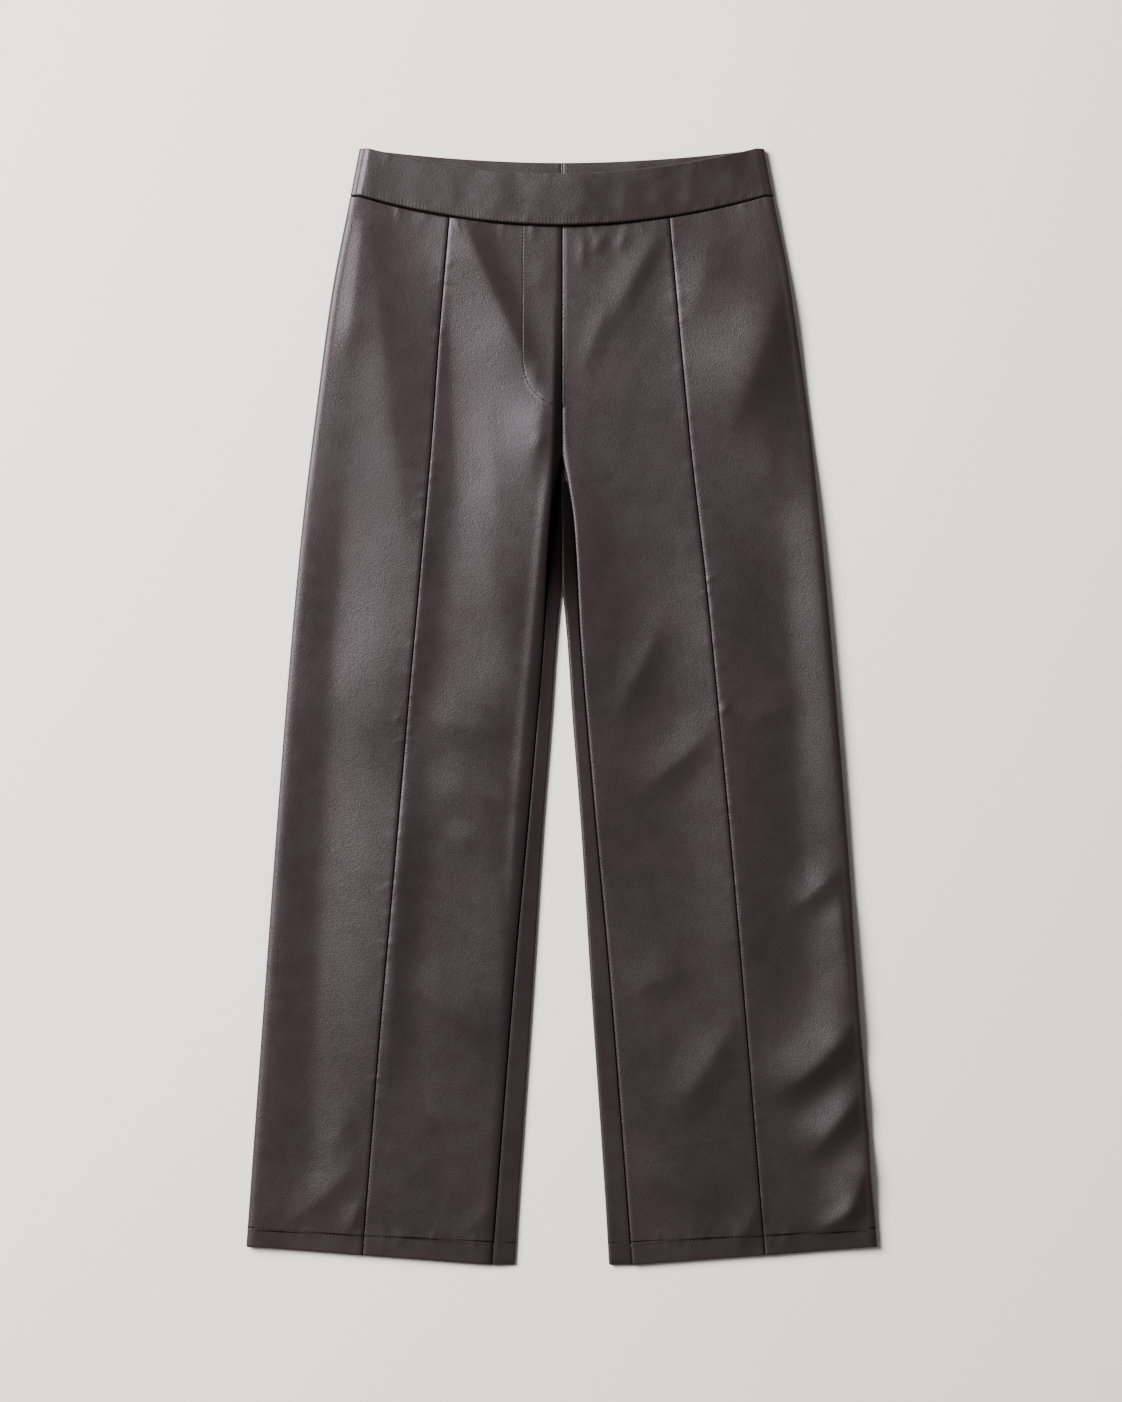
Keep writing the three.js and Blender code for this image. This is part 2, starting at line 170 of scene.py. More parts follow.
def ripple(x, drop, size, seed):
    """Soft uneven waves, from -1 to 1, about "size" from one to the next."""
    places = zip((x / size).flat, (drop / size).flat)
    return np.array([noise.noise((a, b, seed)) for a, b in places]).reshape(x.shape)


# How softly a fold's crest and foot are rounded, as shares of its width
CREST_ROUND = 0.16
FOOT_ROUND = 0.24


def creases(x, drop, folds):
    """Height of the folds in a table. Each starts and ends at a point, bows to one side, rises to its
    soft crest, falls away evenly over its own width on the left and right of its way, and dies out at
    its ends."""
    height = np.zeros(x.shape)
    for start_x, start_drop, end_x, end_drop, bow, rise, left, right, fade in folds:
        run = math.hypot(end_x - start_x, end_drop - start_drop)
        way_x, way_drop = (end_x - start_x) / run, (end_drop - start_drop) / run
        along = ((x - start_x) * way_x + (drop - start_drop) * way_drop) / run
        on = np.clip(along, 0, 1)
        off = (x - start_x) * way_drop - (drop - start_drop) * way_x - 4 * bow * on * (1 - on)
        ends = smooth(along / fade) * smooth((1 - along) / fade)
        down = CREST_ROUND + 1 - np.hypot(off / np.where(off < 0, left, right), CREST_ROUND)
        height += rise * ends * FOOT_ROUND * np.logaddexp(0, down / FOOT_ROUND)
    return height


def sew_panel(name, side, out, drop, height, attributes):
    """Makes a panel from a grid: one row of points for each row of the arrays, outer face outwards."""
    rows, columns = out.shape
    grid = bmesh.new()
    bmesh.ops.create_grid(grid, x_segments=columns - 1, y_segments=rows - 1, size=1)
    mesh = bpy.data.meshes.new(name)
    grid.to_mesh(mesh)
    grid.free()
    flat = np.empty(len(mesh.vertices) * 3)
    mesh.vertices.foreach_get("co", flat)
    share = (flat.reshape(-1, 3) + 1) / 2
    column = np.rint(share[:, 0] * (columns - 1)).astype(int)
    row = np.rint((1 - share[:, 1]) * (rows - 1)).astype(int)
    if side == "right":
        column = columns - 1 - column
    place = np.stack([MIRROR[side] * out, LENGTH / 2 - drop, height], axis=-1)
    mesh.vertices.foreach_set("co", (place[row, column] * MM).ravel())
    for attribute, values in attributes.items():
        layer = mesh.attributes.new(attribute, "FLOAT", "POINT")
        layer.data.foreach_set("value", np.broadcast_to(values, out.shape)[row, column].astype(np.float32))
    mesh.polygons.foreach_set("use_smooth", [True] * len(mesh.polygons))
    mesh.update()
    panel = bpy.data.objects.new(name, mesh)
    bpy.context.scene.collection.objects.link(panel)
    thickness = panel.modifiers.new("Cloth thickness", "SOLIDIFY")
    thickness.thickness = CLOTH * MM
    thickness.offset = -1
    mesh.materials.append(faux_leather)
    return panel


# Colours and gloss of the coating, and the steps of the small ribs that the stitches draw up: along a
# row in millimetres, and along a long seam in metres
COATING_DARK = (0.0138, 0.0086, 0.0083, 1)
COATING_LIGHT = (0.0170, 0.0110, 0.0105, 1)
SHINE = 0.36
SHINE_TINT = (0.96, 0.89, 0.98, 1)
ROUGHNESS = (0.38, 0.44)
SHEEN = 0.02
SHEEN_ROUGHNESS = 0.4
SHEEN_TINT = (0.9, 0.82, 0.9, 1)
STITCH_STEP = 3.3
SEAM_RIB_STEP = 0.0031


def coated_cloth(name):
    """Dark aubergine brown coating with a fine pebble grain, a soft uneven surface and a satin gloss, with
    painted shade in its seams, its stitched grooves and the fork of the legs.
    """
    material = bpy.data.materials.new(name)
    material.use_nodes = True
    nodes, links = material.node_tree.nodes, material.node_tree.links
    shader = nodes["Principled BSDF"]
    place = nodes.new("ShaderNodeTexCoord")

    def add(kind, **settings):
        node = nodes.new(kind)
        for setting, value in settings.items():
            setattr(node, setting, value)
        return node

    def speckle(kind, scale, detail=2.0, **settings):
        node = add(kind, **settings)
        node.inputs["Scale"].default_value = scale
        if "Detail" in node.inputs:
            node.inputs["Detail"].default_value = detail
        links.new(place.outputs["Object"], node.inputs["Vector"])
        return node

    def sum_up(operation, first, second):
        node = add("ShaderNodeMath", operation=operation)
        for socket, value in zip(node.inputs, (first, second)):
            if isinstance(value, (int, float)):
                socket.default_value = value
            else:
                links.new(value, socket)
        return node.outputs["Value"]

    def spread(value, low, high, out_low, out_high):
        node = add("ShaderNodeMapRange", interpolation_type="SMOOTHSTEP")
        for socket, number in zip(list(node.inputs)[1:5], (low, high, out_low, out_high)):
            socket.default_value = number
        links.new(value, node.inputs["Value"])
        return node.outputs["Result"]

    tone = speckle("ShaderNodeTexNoise", 9, 4)
    colour = add("ShaderNodeMix", data_type="RGBA")
    colour.inputs["A"].default_value = COATING_DARK
    colour.inputs["B"].default_value = COATING_LIGHT
    links.new(spread(tone.outputs["Fac"], 0.35, 0.65, 0, 1), colour.inputs["Factor"])
    seam = add("ShaderNodeAttribute", attribute_name="seam_and_shade_distance").outputs["Fac"]
    stitch = add("ShaderNodeAttribute", attribute_name="stitch_and_shade_distance").outputs["Fac"]
    # Painted shade: colour and gloss go darker in the seam gaps, in the fork of the legs and along the
    # waistband's lower seam. Along the stitched rows the darkening is partly the thread holes and partly
    # painted shade in the pressed groove.
    stitch_holes_and_painted_shade = sum_up("MULTIPLY", spread(stitch, 0.4, 1.3, 0.2, 1), spread(seam, 0.25, 0.8, 0.12, 1))
    shaded = add("ShaderNodeVectorMath", operation="SCALE")
    links.new(colour.outputs["Result"], shaded.inputs[0])
    links.new(stitch_holes_and_painted_shade, shaded.inputs["Scale"])
    links.new(shaded.outputs["Vector"], shader.inputs["Base Color"])
    shine = sum_up("MULTIPLY", stitch_holes_and_painted_shade, SHINE)
    links.new(shine, shader.inputs["Specular IOR Level"])

    wave = speckle("ShaderNodeTexNoise", 60, 2)
    links.new(spread(wave.outputs["Fac"], 0.3, 0.7, *ROUGHNESS), shader.inputs["Roughness"])
    shader.inputs["Specular Tint"].default_value = SHINE_TINT
    shader.inputs["Sheen Weight"].default_value = SHEEN
    shader.inputs["Sheen Roughness"].default_value = SHEEN_ROUGHNESS
    shader.inputs["Sheen Tint"].default_value = SHEEN_TINT

    pebble = speckle("ShaderNodeTexVoronoi", 880)
    mottle = speckle("ShaderNodeTexNoise", 300, 2)

    run = add("ShaderNodeAttribute", attribute_name="stitch_run").outputs["Fac"]
    split = add("ShaderNodeSeparateXYZ")
    links.new(place.outputs["Object"], split.inputs["Vector"])
    seam_rib = sum_up("SINE", sum_up("MULTIPLY", split.outputs["Y"], 2 * math.pi / SEAM_RIB_STEP), 0)
    seam_rib = sum_up("MULTIPLY", seam_rib, spread(seam, 0.8, 5, 1, 0))
    groove = spread(stitch, 0, 1.3, 1, 0)
    rib = sum_up("SINE", sum_up("MULTIPLY", run, 2 * math.pi / STITCH_STEP), 0)
    rib = sum_up("MULTIPLY", rib, spread(stitch, 0.6, 3.5, 1, 0))

    # each part of the relief, and how high it stands in millimetres
    relief = 0
    reliefs = [
        (wave.outputs["Fac"], 0.12),
        (mottle.outputs["Fac"], 0.085),
        (pebble.outputs["Distance"], 0.10),
        (seam_rib, 0.010),
        (rib, 0.03),
        (groove, -0.16),
    ]
    for source, depth in reliefs:
        relief = sum_up("ADD", sum_up("MULTIPLY", source, depth), relief)
    bump = add("ShaderNodeBump")
    bump.inputs["Strength"].default_value = 1
    bump.inputs["Distance"].default_value = MM
    links.new(relief, bump.inputs["Height"])
    links.new(bump.outputs["Normal"], shader.inputs["Normal"])
    return material


faux_leather = coated_cloth("faux_leather")

# The underside's dents, which rise a little off the surface: start x, start drop, end x, end drop, bow,
# rise, width on each side, and the share of its length over which each end dies out
BACK_DENTS = [
    (60, 330, 150, 292, 8, 1.2, 10, 13, 0.4), (40, 372, 120, 350, 6, 0.9, 9, 12, 0.4),
    (90, 560, 190, 530, -8, 1.1, 12, 12, 0.4), (70, 612, 170, 600, 5, 1, 10, 13, 0.4),
    (120, 660, 200, 700, 5, 0.8, 9, 9, 0.4), (150, 120, 120, 260, 6, 0.9, 13, 13, 0.4),
    (80, 110, 60, 210, -5, 0.8, 10, 10, 0.4), (150, 860, 230, 930, 8, 1, 13, 10, 0.4),
    (110, 940, 190, 1000, -6, 0.8, 10, 10, 0.4), (200, 330, 225, 470, 6, 0.8, 14, 14, 0.4),
]


def strip_height(levels, drop):
    """Height of the back where it shows inside the inseam: low in the fork of the legs, then rising."""
    return lerp(*levels, smooth((drop - FORK_START) / (FORK_RISE_END - FORK_START)))


def back_panel(side):
    middle, depth = panel_rows(BACK_BAND_CENTRE, BACK_ROW_STEP)
    side_drop = row_drop(middle, 1, BACK_BAND_CENTRE)
    top = 2 * ROLL
    columns = []

    def add_column(out, drop, height):
        columns.append([np.broadcast_to(part, middle.shape) for part in (out, drop, height)])

    for angle, turned in BACK_SEAM_COLUMNS:
        out, height = side_roll(side_drop, BACK_SEAM_ANGLE - angle, depth + turned, top)
        add_column(out, side_drop, height)
    for angle in np.linspace(BACK_SEAM_ANGLE - BACK_SEAM_PAST, -90, 7):
        out, height = side_roll(side_drop, angle, depth, top)
        add_column(out, side_drop, height)

    wrapped = middle >= FORK_START
    edge = inner_edge(middle)
    end = inseam(middle) - SEAM_GAP
    seam_top = strip_height(STRIP_AT_INSEAM[side], middle)
    fork = strip_height(STRIP_AT_EDGE[side], middle)
    apart = smooth((middle - LEGS_PART) / (FORK_RISE_END - LEGS_PART))
    wide = np.where(wrapped, lerp(FORK_ROUND, INNER_EDGE_ROUND, apart), 0)
    for across in np.linspace(1, 0, 34)[1:]:
        drop = row_drop(middle, across, BACK_BAND_CENTRE)
        out = lerp(edge + wide, outer_edge(drop) - ROLL, across)
        dents = creases(out, drop, BACK_DENTS) * smooth((out - edge - wide) / DENTS_FADE) * (depth == 0)
        add_column(out, drop, depth + dents)

    def add_wrap(wrapped_out, wrapped_height, plain_height):
        """A column of the part that wraps up round the inner leg. Above the fork it ends at the seam."""
        out = np.where(wrapped, wrapped_out, edge)
        add_column(out, middle, np.where(wrapped, wrapped_height, plain_height))

    steps = 12
    for i in range(1, steps + 1):
        turn = math.radians(lerp(-90, 90, i / steps))
        lean = np.maximum(wide - depth, 0.1) * math.cos(turn)
        up = fork / 2 + (fork / 2 - depth) * math.sin(turn)
        add_wrap(edge + wide - lean, up, depth + 0.02 * i)
    for share in np.linspace(0, 1, 6)[1:]:
        strip = lerp(fork, seam_top, share)
        at = lerp(edge + wide, end - SEAM_ROUND, share)
        add_wrap(at, strip - depth, depth + 0.3 + 0.2 * share)
    for angle in (60, 30, 0):
        turn = math.radians(angle)
        at = end - SEAM_ROUND * (1 - math.cos(turn))
        lower = np.minimum(depth + SEAM_ROUND * (1 - math.sin(turn)), seam_top - STRIP_ROUND_LOWEST)
        add_wrap(at, seam_top - lower, depth + 0.6 + 0.01 * (60 - angle))
    lower = np.minimum(depth + SEAM_ROUND + SEAM_TURN, seam_top - STRIP_TURNED_LOWEST)
    add_wrap(end, seam_top - lower, depth + SEAM_TURN)

    out, drop, height = (np.hstack([column[part] for column in columns]) for part in range(3))
    # Painted shade in the fork of the legs: the seam distance is capped there, so the material darkens the
    # back where it lies deep between the fronts.
    fork_shade_reach = lerp(*FORK_SHADE, smooth((drop - FORK_SHADE_DEEPEST) / (FORK_SHADE_GONE - FORK_SHADE_DEEPEST)))
    hem = row_drop(LENGTH, out / outer_edge(drop), BACK_BAND_CENTRE) - HEM_DEPTH
    attributes = {
        "seam_and_shade_distance": np.where(height < UNDERSIDE, UNSEWN, np.minimum(np.abs(out - end), fork_shade_reach)),
        "stitch_and_shade_distance": np.abs(drop - hem),
        "stitch_run": out,
    }
    return sew_panel(f"cloth_back_{side}", side, out, drop, height, attributes)


for side in ("right", "left"):
    panel = back_panel(side)
    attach(panel, "root")
    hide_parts(f"back_{side}")

# Front side panels. Each runs from the long raised seam out to the side seam, in the same cloth, and
# lies on the back panel. It swells where it turns down over the soft outer edge.
WALL = 2.2
LAYER_GAP = 2.1
FLAT_HEIGHT = 2 * WALL + LAYER_GAP
LOWEST_FRONT = 3.8
EDGE_SWELL = 26
INNER_ROLL = {"right": 11, "left": 3}
INNER_FALL = {"right": 3.2, "left": 1.4}
SEAM_DIP = 0.45
SEAM_DIP_WIDTH = 1.9
CENTRE_GROOVE_DEPTH = {"right": 1.3, "left": 1.5}
CENTRE_GROOVE_WIDTH = {"right": 3.0, "left": 1.9}
FRONT_BAND_CENTRE = 73
WAIST_FADE = 14
WAIST_FADE_START = 0.6
SEAM_FRACTION = 0.53
FRONT_ROW_STEP = 1.9
DEEPEST = 4.2

front_seam = {
    "right": line_through([
        (65, 106), (172, 115.2), (283, 123.1), (408, 133.8), (528, 144.8), (677, 157.5), (848, 172.5),
        (1036, 187.3),
    ]),
    "left": line_through([
        (65, 101), (172, 110.6), (283, 121.3), (408, 135.4), (528, 147), (677, 160.7), (848, 175.2),
        (1036, 190.5),
    ]),
}

# Folds of the front, in millimetres from the centre line and below the waist corners. Most run from
# their upper or right end, so their left side faces the upper left: start x, start drop, end x, end
# drop, bow, rise, width on the left, width on the right, and the share of each end that dies out.
FRONT_FOLDS = [
    # wearer's right hip, with the wide ridge that runs down from it beside the long seam
    (-185, 46, -204, 206, 2, 1.6, 12, 26, 0.3),
    (-188, 0, -136, 430, -4, 4.4, 56, 38, 0.42),
    (-106, 96, -96, 360, -2, -1.7, 16, 44, 0.38),
    # from the long seam down across the centre panel to the crotch
    (-110, 34, -18, 240, 0, 4.4, 42, 18, 0.36),
    (-8, 120, -20, 470, 4, 7.8, 70, 7, 0.42),
    (-15, 206, -36, 332, 3, 2.9, 28, 20, 0.45),
    (-72, 216, -58, 396, 2, 1.3, 26, 30, 0.45),
    (-4, 236, -51, 730, -3, 1.0, 6, 8, 0.2),
    (-16, 262, -26, 286, 1, 0.4, 7, 5, 0.45),
    (-26, 196, -24, 232, 0, 0.5, 8, 8, 0.4),
    (-14, 92, -28, 140, 2, 0.4, 10, 10, 0.4),
    # wearer's right thigh
    (-203, 290, -239, 1030, -4, -2.8, 38, 38, 0.18),
    (-124, 260, -147, 600, -2, 4.3, 78, 22, 0.42),
    (-86, 300, -30, 610, 5, 5.4, 62, 66, 0.42),
    # wearer's right knee
    (-42, 553, -142, 532, 0, 2.4, 46, 24, 0.42),
    (-34, 613, -134, 595, 2, 2.4, 38, 30, 0.42),
    (-42, 670, -116, 638, -3, 1.6, 30, 20, 0.42),
    (-38, 626, -66, 600, 0, 0.8, 12, 10, 0.45),
    (-138, 556, -236, 482, 4, 1.3, 66, 44, 0.42),
    (-150, 528, -158, 544, 0, 0.5, 5, 4, 0.45),
    # wearer's right calf
    (-141, 540, -170, 940, -2, 4.6, 64, 20, 0.36),
    (-58, 660, -56, 880, 0, 2.4, 44, 20, 0.45),
    (-52, 850, -166, 766, 0, 2.8, 32, 20, 0.42),
    (-92, 924, -178, 885, 2, 1.2, 22, 14, 0.45),
    # above the wearer's right hem
    (-184, 930, -272, 1014, 12, 2.0, 24, 19, 0.42),
    (-187, 978, -207, 1032, 2, 1.8, 15, 9, 0.45),
    (-196, 886, -226, 966, 2, 0.9, 18, 18, 0.45),
    (-60, 988, -98, 1024, 2, 0.9, 12, 10, 0.45),
    # gathers below the wearer's left side of the waistband
    (106, 52, 34, 186, 0, 2.2, 20, 24, 0.44),
    (106, 78, 56, 174, 0, -1.1, 12, 24, 0.44),
    (46, 136, 14, 222, 1, 1.1, 12, 13, 0.45),
    (20, 74, 19, 118, 0, 0.7, 6, 6, 0.48),
    (45, 72, 26, 104, 0, 0.7, 7, 7, 0.48),
    (63, 70, 51, 102, 0, 0.7, 7, 7, 0.48),
    # wearer's left hip
    (144, 62, 112, 186, 3, 2.0, 32, 26, 0.44),
    (210, 92, 146, 286, 8, 8.6, 66, 34, 0.44),
    (208, 50, 240, 340, -4, -2.8, 32, 40, 0.3),
    (176, 240, 208, 350, 3, 1.6, 36, 30, 0.45),
    # wearer's left thigh
    (4, 250, 38, 720, -2, 4.8, 5, 58, 0.28),
    (18, 232, 96, 510, -6, -2.2, 42, 60, 0.42),
    (130, 296, 186, 910, 0, 4.0, 34, 60, 0.32),
    (230, 250, 266, 730, 3, 2.7, 26, 12, 0.32),
    (200, 270, 236, 860, 0, -1.9, 56, 30, 0.34),
    # wearer's left knee
    (101, 424, 40, 548, 5, 2.0, 18, 20, 0.44),
    (149, 532, 60, 608, 8, 2.7, 25, 15, 0.44),
    (158, 519, 148, 534, 0, 0.8, 5, 5, 0.48),
    (230, 517, 162, 537, 2, 1.9, 24, 18, 0.45),
    (124, 764, 54, 796, 2, 1.5, 24, 15, 0.45),
    (170, 806, 98, 918, 3, 3.0, 24, 20, 0.44),
    (174, 1004, 56, 940, 6, 2.2, 32, 13, 0.42),
    (190, 974, 158, 1046, 2, 2.1, 22, 12, 0.44),
    # wearer's left calf, down the outer edge
    (268, 668, 206, 723, 3, 3.3, 22, 15, 0.44),
    (258, 684, 274, 830, 0, 4.0, 28, 12, 0.34),
    (286, 788, 184, 896, 17, 8.0, 36, 19, 0.42),
    (291, 868, 220, 956, 5, 5.8, 27, 17, 0.42),
    (295, 920, 254, 1030, 4, 5.0, 30, 13, 0.42),
    (291, 984, 232, 1022, 2, 2.3, 12, 9, 0.45),
]


# Mock fly. Its second layer lifts the cloth between the centre front and the stitching.
FLY_WIDTH = 37
FLY_STRAIGHT = 200
FLY_END = 242
FLY_RISE = 0.85
FLY_STEP = 1.6
FLY_PAST_CENTRE = 2


def fly_edge(drop):
    """How far the mock fly's stitching lies from the centre line: straight, then round to it like a J."""
    bend = np.clip((drop - FLY_STRAIGHT) / (FLY_END - FLY_STRAIGHT), 0, 1)
    return FLY_WIDTH * np.sqrt(1 - bend**2)


def fly_height(x, drop):
    """How far the fly's second layer lifts the cloth, in one soft step along the stitching."""
    inside = smooth((fly_edge(drop) + x) / FLY_STEP + 0.5) * (x < FLY_PAST_CENTRE) * (drop < FLY_END)
    return FLY_RISE * inside


def front_height(side, out, drop):
    """Top of the front, before it turns down over the outer edge or into a seam."""
    x = MIRROR[side] * out
    parted = smooth((drop - CROTCH_POINT) / (FORK_START - CROTCH_POINT))
    from_roll = outer_edge(drop) - ROLL_WIDTH - out
    outer = (2 * ROLL - FLAT_HEIGHT) * np.exp(-((from_roll / EDGE_SWELL) ** 2))
    turned = np.clip(1 - (out - inseam(drop)) / INNER_ROLL[side], 0, 1)
    inner = -INNER_FALL[side] * (1 - np.sqrt(1 - turned**2)) * parted
    groove = CENTRE_GROOVE_DEPTH[side] * np.exp(-((out / CENTRE_GROOVE_WIDTH[side]) ** 2)) * (1 - parted)
    dip = SEAM_DIP * np.exp(-(((out - front_seam[side](drop)) / SEAM_DIP_WIDTH) ** 2))
    below_waist = drop - waist_edge(FRONT_BAND_CENTRE, BAND_SIDE, 0.5)
    folds = creases(x, drop, FRONT_FOLDS) * smooth(below_waist / WAIST_FADE + WAIST_FADE_START)
    uneven = 0.28 * ripple(x, drop, size=60, seed=3.1) + 0.05 * ripple(x, drop, size=20, seed=7.7)
    height = FLAT_HEIGHT + outer + inner - groove - dip + folds + uneven + fly_height(x, drop)
    return np.maximum(height, LOWEST_FRONT)


def puckers(run, distance, first, last, spacing, reach, width, rise, seed):
    """Small folds that the stitching draws up square to a seam, unevenly spaced along it."""
    draw = random.Random(seed)
    height = np.zeros(np.broadcast(run, distance).shape)
    at = first
    while at < last:
        tall = rise * draw.uniform(-0.4, 1)
        wide = width * draw.uniform(0.7, 1.5)
        far = reach * draw.uniform(0.5, 1.5)
        lean = draw.uniform(-0.5, 0.5)
        height += tall * np.exp(-(((run - at - lean * distance) / wide) ** 2) - (distance / far) ** 2)
        at += spacing * draw.uniform(0.5, 1.6)
    return height


def seam_columns(edge, way):
    """Columns of a panel's edge at a seam, from the turned-in allowance up over its round shoulder: where
    each lies, and how deep it goes."""
    columns = [(edge, SEAM_ROUND + SEAM_TURN)]
    for angle in (0, 22, 45, 68):
        turn = math.radians(angle)
        columns.append((edge + way * SEAM_ROUND * (1 - math.cos(turn)), SEAM_ROUND * (1 - math.sin(turn))))
    return columns


def across_steps(fine, coarse, both_ends):
    """Shares of a panel's width, closer together near its seams."""
    near = np.linspace(0, 0.1, fine)
    middle = np.linspace(0.1, 0.9, coarse)[1:-1]
    far = np.linspace(0.9, 1, fine if both_ends else fine // 2)
    return np.concatenate([near, middle, far])


def front_details(side, out, drop, middle):
    """Puckers beside the long seam, under the waistband and above the hem."""
    seam = np.abs(out - front_seam[side](drop))
    hem = row_drop(LENGTH, SEAM_FRACTION * out / front_seam[side](drop), FRONT_BAND_CENTRE) - HEM_DEPTH
    waist = middle - FRONT_BAND_CENTRE
    number = 1 if side == "right" else 2
    height = puckers(
        drop, seam, first=90, last=1040, spacing=13, reach=7, width=3.2, rise=0.42, seed=number,
    )
    height += puckers(
        out, waist, first=6, last=200, spacing=11, reach=9, width=3.0, rise=0.5, seed=number + 2,
    )
    height += puckers(
        out, np.abs(drop - hem), first=45, last=300, spacing=15, reach=8, width=3.4, rise=0.5,
        seed=number + 4,
    )
    return height, seam, drop - hem


def front_piece(side, place_columns, name):
    middle, depth = panel_rows(FRONT_BAND_CENTRE, FRONT_ROW_STEP)
    parts = place_columns(side, middle, depth)
    out, drop, height, seam, stitch, run = (np.hstack([part[i] for part in parts]) for i in range(6))
    attributes = {"seam_and_shade_distance": seam, "stitch_and_shade_distance": stitch, "stitch_run": run}
    return sew_panel(name, side, out, drop, height, attributes)


def side_panel_columns(side, middle, depth):
    parts = []
    half = SEAM_GAP / 2

    def add(share, out_at, turned):
        across = lerp(SEAM_FRACTION, 1, share)
        drop = row_drop(middle, across, FRONT_BAND_CENTRE)
        start = front_seam[side](drop) + half
        if share == 0:
            out = start + out_at
        else:
            out = lerp(start + SEAM_ROUND, outer_edge(drop) - ROLL_WIDTH, share)
        detail, seam, stitch = front_details(side, out, drop, middle)
        height = front_height(side, out, drop) + detail
        lowered = height - np.minimum(depth + turned, DEEPEST)
        parts.append([out, drop, lowered, seam, np.abs(stitch), out])
        return drop, height

    for out_at, turned in seam_columns(0, 1):
        add(0, out_at, turned)
    for share in across_steps(9, 38, True):
        drop, top = add(max(share, 1e-6), 0, 0)
    hem = row_drop(LENGTH, 1, FRONT_BAND_CENTRE) - HEM_DEPTH
    for angle in [*np.linspace(90, 0, 13)[1:], -3]:
        out, height = side_roll(drop, np.full(drop.shape, angle), depth, top)
        parts.append([out, drop, height, np.full(out.shape, UNSEWN), np.abs(drop - hem), out])
    for turned in (SEAM_ROUND, SEAM_ROUND + SEAM_TURN):
        angle = np.full(drop.shape, float(SIDE_SEAM_ANGLE))
        out, height = side_roll(drop, angle, depth + turned, top)
        parts.append([out, drop, height, np.full(out.shape, UNSEWN), np.abs(drop - hem), out])
    return parts


for side in ("right", "left"):
    panel = front_piece(side, side_panel_columns, f"cloth_front_side_{side}")
    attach(panel, "root")
    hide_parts(f"front_side_{side}")

# Front centre panels. Each runs from the centre front seam, and the inseam below it, out to the long
# raised seam. The wearer's right one carries the mock fly: a second layer under the cloth, up to the
# J-shaped stitching.
FLY_SHARES = (0.3, 0.355)


def centre_panel_columns(side, middle, depth):
    parts = []
    half = SEAM_GAP / 2
    reach_down = np.where(middle < FORK_START, LOWEST_FRONT, strip_height(STRIP_AT_INSEAM[side], middle))

    def add(share, shift, turned):
        across = share * SEAM_FRACTION
        drop = row_drop(middle, across, FRONT_BAND_CENTRE)
        start = inseam(drop)
        end = front_seam[side](drop) - half
        out = lerp(start + SEAM_ROUND, end - SEAM_ROUND, share) + shift
        detail, seam, hem = front_details(side, out, drop, middle)
        height = front_height(side, out, drop) + detail
        seam = np.minimum(seam, out - start)
        if side == "right":
            fly = np.where(drop < FLY_END, np.abs(out - fly_edge(drop)), UNSEWN)
        else:
            fly = np.full(out.shape, UNSEWN)
        hem = np.abs(hem)
        stitch = np.minimum(hem, fly)
        run = np.where(fly < hem, drop, out)
        lowered = height - np.minimum(depth + turned, DEEPEST)
        if share == 0 and turned > SEAM_ROUND:
            lowered = np.minimum(lowered, reach_down)
        parts.append([out, drop, lowered, seam, stitch, run])

    for shift, turned in seam_columns(-SEAM_ROUND, 1):
        add(0, shift, turned)
    shares = across_steps(9, 44, True)
    if side == "right":
        shares = np.unique(np.concatenate([shares, np.linspace(*FLY_SHARES, 10)]))
    for share in shares:
        add(share, 0, 0)
    for shift, turned in reversed(seam_columns(SEAM_ROUND, -1)):
        add(1, shift, turned)
    return parts


for side in ("right", "left"):
    panel = front_piece(side, centre_panel_columns, f"cloth_front_centre_{side}")
    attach(panel, "root")
    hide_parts(f"front_centre_{side}")

# Waistband. Two shaped layers with an interlining and a flat elastic between them, turned at the top
# edge: one piece across the front, and two at the back that are joined at the centre back seam.
BAND_LAYING = 7.0
BAND_TIP = (0.7, 5.2)
BAND_BACK_HEIGHT = 2.9
BAND_DEPTH = 45
# Painted shade along the waistband's lower seam, where the band lies over the fronts: how far up it fades,
# and the distance it starts from at the seam
BAND_SHADE_REACH = 12
BAND_SHADE_AT_SEAM = 0.5
FRONT_TOP_DIP = 24.5
BACK_TOP_DIP = 12.7
BAND_TOP_ROLL = 1.1
BAND_INSIDE = 36

# Soft upright waves of the elastic band, from its top to its lower edge, over one broad arch
BAND_FOLDS = [
    (8, -40, 2, 140, 0, 4.2, 200, 120, 0.3), (-178, -6, -186, 60, 0, 0.96, 12, 24, 0.42),
    (-132, 0, -140, 66, 0, 0.48, 30, 16, 0.4), (-98, 8, -106, 74, 0, 0.54, 26, 12, 0.42),
    (-56, 6, -62, 76, 0, 0.66, 30, 16, 0.42), (-24, 14, -20, 80, 0, 0.36, 14, 18, 0.42),
    (22, 8, 18, 86, 0, 0.9, 24, 22, 0.42), (62, 10, 56, 80, 0, 0.66, 12, 26, 0.42),
    (90, 8, 86, 76, 0, 0.6, 10, 24, 0.42), (124, 4, 118, 72, 0, 0.72, 12, 30, 0.42),
    (160, -4, 158, 64, 0, 0.78, 12, 34, 0.42),
]


